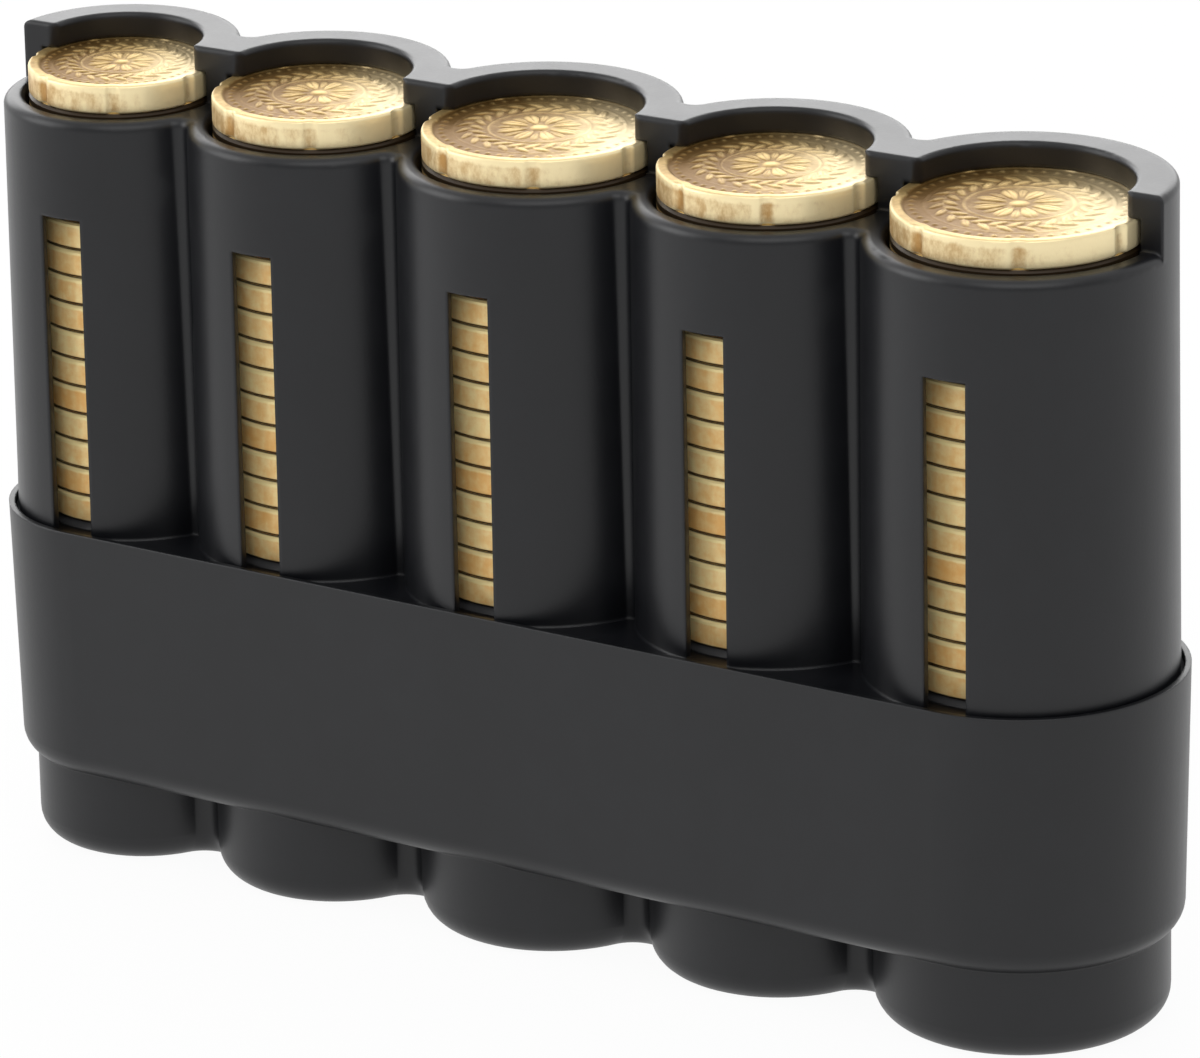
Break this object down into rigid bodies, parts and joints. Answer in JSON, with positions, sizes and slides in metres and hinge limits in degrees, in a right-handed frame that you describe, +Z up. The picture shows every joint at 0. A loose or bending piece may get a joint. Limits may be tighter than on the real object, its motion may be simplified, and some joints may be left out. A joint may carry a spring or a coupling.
{
  "type": "coin holder and dispenser",
  "caption": "Free-standing coin holder with a row of spring-loaded tubes, view slots, a shared C-shaped retaining lip and a lower spring housing.",
  "frame": {"origin": "on the table under the middle of the whole object", "axes": "+X along the row from the smallest tube to the largest, -Y to the front where coins leave, +Z up"},
  "size_m": [0.1383, 0.0344, 0.089],
  "materials": {
    "black_plastic": "semi-matt moulded black plastic",
    "black_plastic_lower": "semi-matt moulded black plastic",
    "spring_steel": "drawn spring wire",
    "pusher_plastic": "matt moulded plastic",
    "coin_edge_brass": "worn brass-coloured coin metal",
    "coin_brass": "struck brass-coloured coin metal"
  },
  "bodies": {
    "holder": {"tube_block": "black_plastic", "lower_housing": "black_plastic_lower", "spring_1": "spring_steel", "spring_2": "spring_steel", "spring_3": "spring_steel", "spring_4": "spring_steel", "spring_5": "spring_steel"},
    "stack_1": {"coin_pusher_1": "pusher_plastic", "coin_stack_1": "coin_edge_brass"},
    "loose_coin_1": {"top_coin_1": "coin_brass"},
    "stack_2": {"coin_pusher_2": "pusher_plastic", "coin_stack_2": "coin_edge_brass"},
    "loose_coin_2": {"top_coin_2": "coin_brass"},
    "stack_3": {"coin_pusher_3": "pusher_plastic", "coin_stack_3": "coin_edge_brass"},
    "loose_coin_3": {"top_coin_3": "coin_brass"},
    "stack_4": {"coin_pusher_4": "pusher_plastic", "coin_stack_4": "coin_edge_brass"},
    "loose_coin_4": {"top_coin_4": "coin_brass"},
    "stack_5": {"coin_pusher_5": "pusher_plastic", "coin_stack_5": "coin_edge_brass"},
    "loose_coin_5": {"top_coin_5": "coin_brass"}
  },
  "joints": [
    {"name": "stack_1_press", "type": "slide", "parent": "holder", "child": "stack_1", "axis": [0, 0, 1], "range_m": [-0.018, 0], "stiffness_N_per_m": 60, "springref_m": 0.06, "deforming": ["spring_1"]},
    {"name": "top_coin_1_out", "type": "slide", "parent": "stack_1", "child": "loose_coin_1", "axis": [0, -1, 0], "range_m": [0, 0.01975]},
    {"name": "stack_2_press", "type": "slide", "parent": "holder", "child": "stack_2", "axis": [0, 0, 1], "range_m": [-0.018, 0], "stiffness_N_per_m": 60, "springref_m": 0.06, "deforming": ["spring_2"]},
    {"name": "top_coin_2_out", "type": "slide", "parent": "stack_2", "child": "loose_coin_2", "axis": [0, -1, 0], "range_m": [0, 0.02225]},
    {"name": "stack_3_press", "type": "slide", "parent": "holder", "child": "stack_3", "axis": [0, 0, 1], "range_m": [-0.018, 0], "stiffness_N_per_m": 60, "springref_m": 0.06, "deforming": ["spring_3"]},
    {"name": "top_coin_3_out", "type": "slide", "parent": "stack_3", "child": "loose_coin_3", "axis": [0, -1, 0], "range_m": [0, 0.02425]},
    {"name": "stack_4_press", "type": "slide", "parent": "holder", "child": "stack_4", "axis": [0, 0, 1], "range_m": [-0.018, 0], "stiffness_N_per_m": 60, "springref_m": 0.06, "deforming": ["spring_4"]},
    {"name": "top_coin_4_out", "type": "slide", "parent": "stack_4", "child": "loose_coin_4", "axis": [0, -1, 0], "range_m": [0, 0.02325]},
    {"name": "stack_5_press", "type": "slide", "parent": "holder", "child": "stack_5", "axis": [0, 0, 1], "range_m": [-0.018, 0], "stiffness_N_per_m": 60, "springref_m": 0.06, "deforming": ["spring_5"]},
    {"name": "top_coin_5_out", "type": "slide", "parent": "stack_5", "child": "loose_coin_5", "axis": [0, -1, 0], "range_m": [0, 0.02575]}
  ]
}
